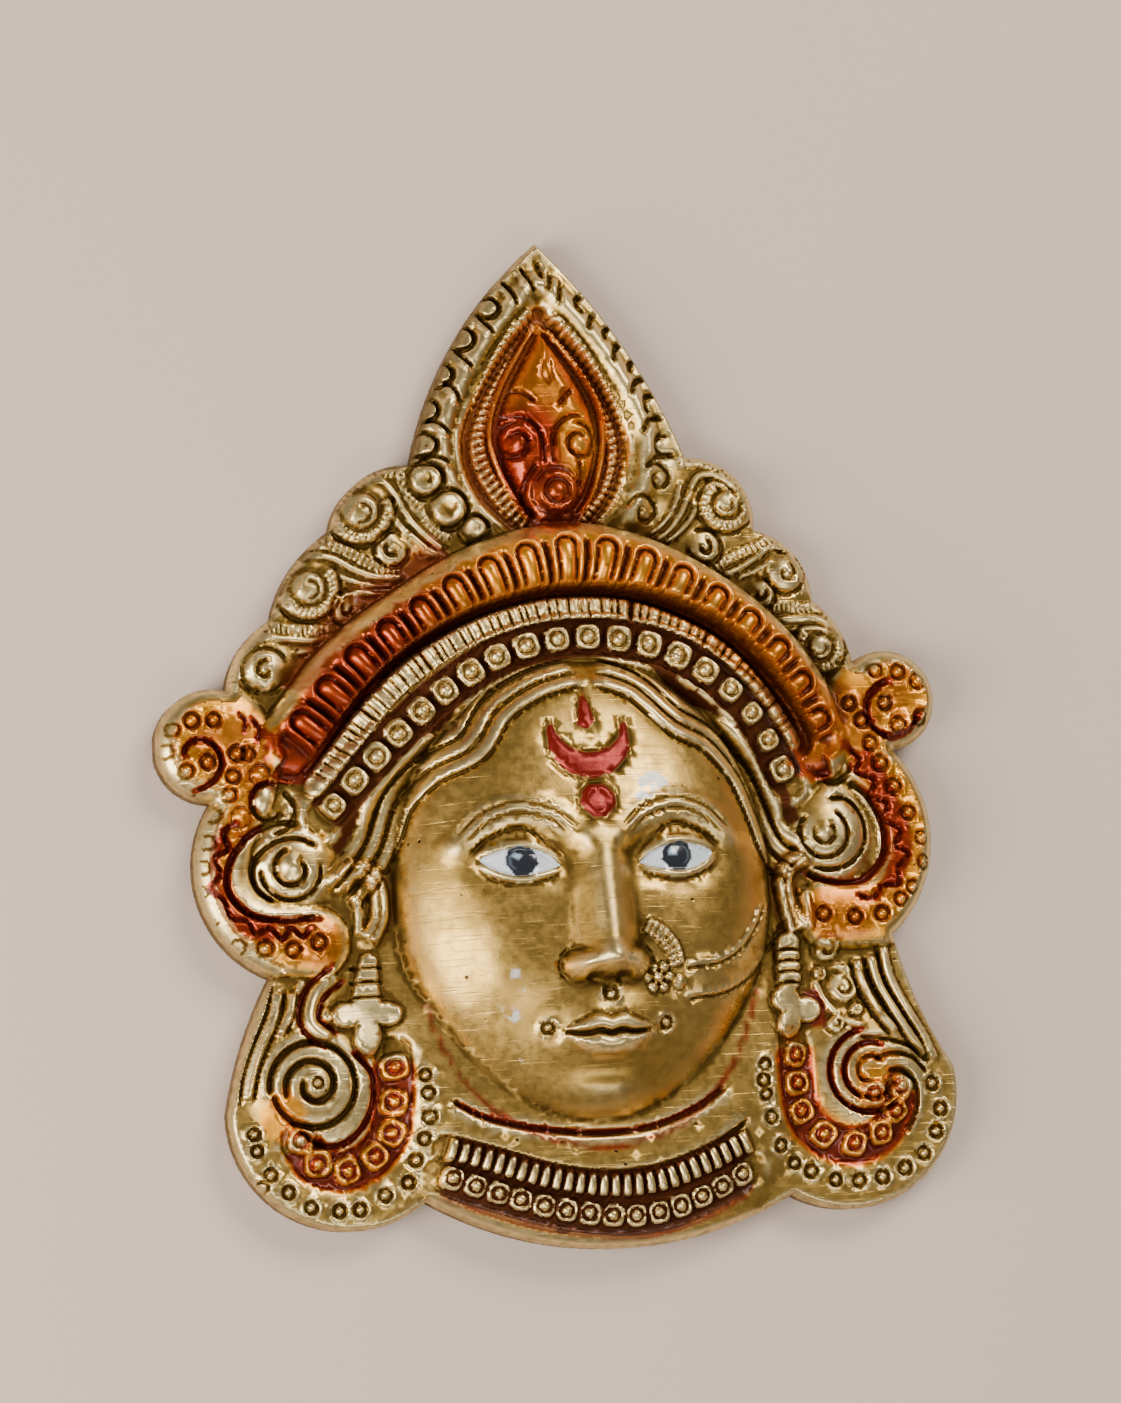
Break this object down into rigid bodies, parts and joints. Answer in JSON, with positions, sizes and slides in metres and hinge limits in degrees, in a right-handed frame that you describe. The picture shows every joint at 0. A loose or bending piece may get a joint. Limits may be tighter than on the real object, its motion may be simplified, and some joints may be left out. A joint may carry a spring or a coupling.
{
  "type": "brass wall mask",
  "caption": "Cast brass mask of a crowned head with ear scrolls and a necklace, hollow behind, lacquered orange in the recesses; lies on its open back.",
  "frame": {"origin": "middle of the mask's box on the plane of its open back rim, which it lies on", "axes": "+Y from the necklace to the crown tip, +Z out of the face, +X to the right of someone who looks at the face"},
  "size_m": [0.1972, 0.25, 0.0414],
  "materials": {
    "brass": "rubbed cast brass with dark recesses, orange and red lacquer in the carving, and painted eyes"
  },
  "bodies": {
    "root": {"mask": "brass"}
  },
  "joints": []
}
